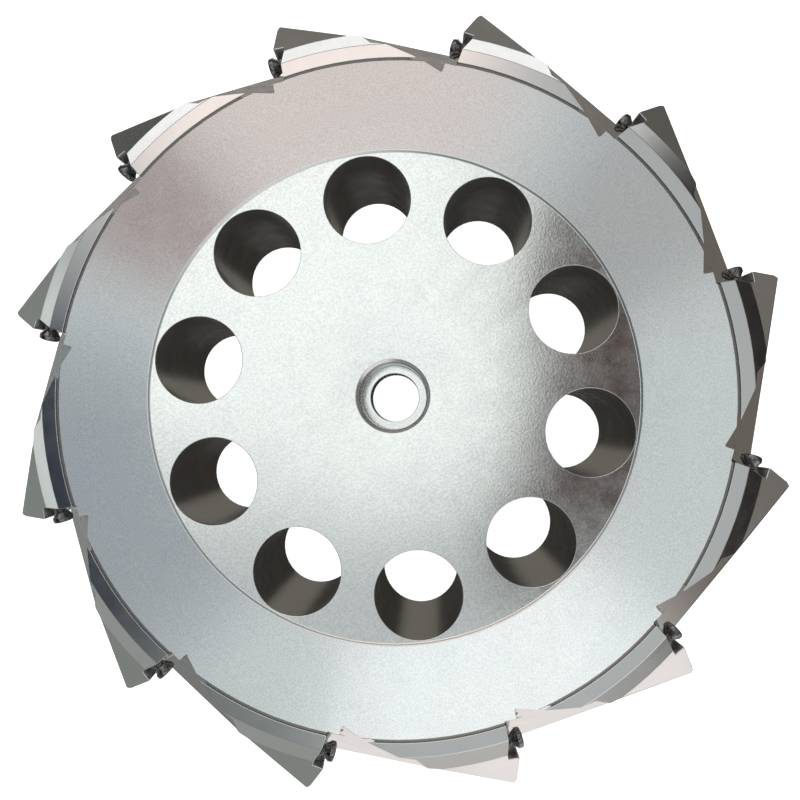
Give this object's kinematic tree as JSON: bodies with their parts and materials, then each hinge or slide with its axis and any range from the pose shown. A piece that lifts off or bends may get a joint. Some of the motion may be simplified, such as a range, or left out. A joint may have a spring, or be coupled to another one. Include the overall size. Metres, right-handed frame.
{
  "type": "face mill",
  "caption": "Large indexable face mill for a 45 degree lead angle: disc body with saw-tooth rim, empty insert seats, loose clamp screws, lightening holes and a shell-arbor bore.",
  "frame": {"origin": "centre of the hub's back face, where the tool seats on its arbor", "axes": "+Z along the tool axis from the arbor toward the cutting face; +X through insert seat 1; the seats are numbered counter-clockwise seen from the cutting face"},
  "size_m": [0.287, 0.287, 0.0626],
  "materials": {
    "nickel_plated_steel": "satin nickel plate, fine blasted grain on the flat faces",
    "black_screw_steel": "black oxide, oiled gloss"
  },
  "bodies": {
    "cutter": {"cutter_body": "nickel_plated_steel"},
    "screw_01": {"insert_screw_01": "black_screw_steel"},
    "screw_02": {"insert_screw_02": "black_screw_steel"},
    "screw_03": {"insert_screw_03": "black_screw_steel"},
    "screw_04": {"insert_screw_04": "black_screw_steel"},
    "screw_05": {"insert_screw_05": "black_screw_steel"},
    "screw_06": {"insert_screw_06": "black_screw_steel"},
    "screw_07": {"insert_screw_07": "black_screw_steel"},
    "screw_08": {"insert_screw_08": "black_screw_steel"},
    "screw_09": {"insert_screw_09": "black_screw_steel"},
    "screw_10": {"insert_screw_10": "black_screw_steel"},
    "screw_11": {"insert_screw_11": "black_screw_steel"},
    "screw_12": {"insert_screw_12": "black_screw_steel"}
  },
  "joints": [
    {"name": "screw_01_slide", "type": "slide", "parent": "cutter", "child": "screw_01", "axis": [0.0858, 0.9811, -0.1736], "range_m": [-0.0022, 0.0018]},
    {"name": "screw_02_slide", "type": "slide", "parent": "cutter", "child": "screw_02", "axis": [-0.4162, 0.8925, -0.1736], "range_m": [-0.0022, 0.0018]},
    {"name": "screw_03_slide", "type": "slide", "parent": "cutter", "child": "screw_03", "axis": [-0.8067, 0.5649, -0.1736], "range_m": [-0.0022, 0.0018]},
    {"name": "screw_04_slide", "type": "slide", "parent": "cutter", "child": "screw_04", "axis": [-0.9811, 0.0858, -0.1736], "range_m": [-0.0022, 0.0018]},
    {"name": "screw_05_slide", "type": "slide", "parent": "cutter", "child": "screw_05", "axis": [-0.8925, -0.4162, -0.1736], "range_m": [-0.0022, 0.0018]},
    {"name": "screw_06_slide", "type": "slide", "parent": "cutter", "child": "screw_06", "axis": [-0.5649, -0.8067, -0.1736], "range_m": [-0.0022, 0.0018]},
    {"name": "screw_07_slide", "type": "slide", "parent": "cutter", "child": "screw_07", "axis": [-0.0858, -0.9811, -0.1736], "range_m": [-0.0022, 0.0018]},
    {"name": "screw_08_slide", "type": "slide", "parent": "cutter", "child": "screw_08", "axis": [0.4162, -0.8925, -0.1736], "range_m": [-0.0022, 0.0018]},
    {"name": "screw_09_slide", "type": "slide", "parent": "cutter", "child": "screw_09", "axis": [0.8067, -0.5649, -0.1736], "range_m": [-0.0022, 0.0018]},
    {"name": "screw_10_slide", "type": "slide", "parent": "cutter", "child": "screw_10", "axis": [0.9811, -0.0858, -0.1736], "range_m": [-0.0022, 0.0018]},
    {"name": "screw_11_slide", "type": "slide", "parent": "cutter", "child": "screw_11", "axis": [0.8925, 0.4162, -0.1736], "range_m": [-0.0022, 0.0018]},
    {"name": "screw_12_slide", "type": "slide", "parent": "cutter", "child": "screw_12", "axis": [0.5649, 0.8067, -0.1736], "range_m": [-0.0022, 0.0018]}
  ]
}
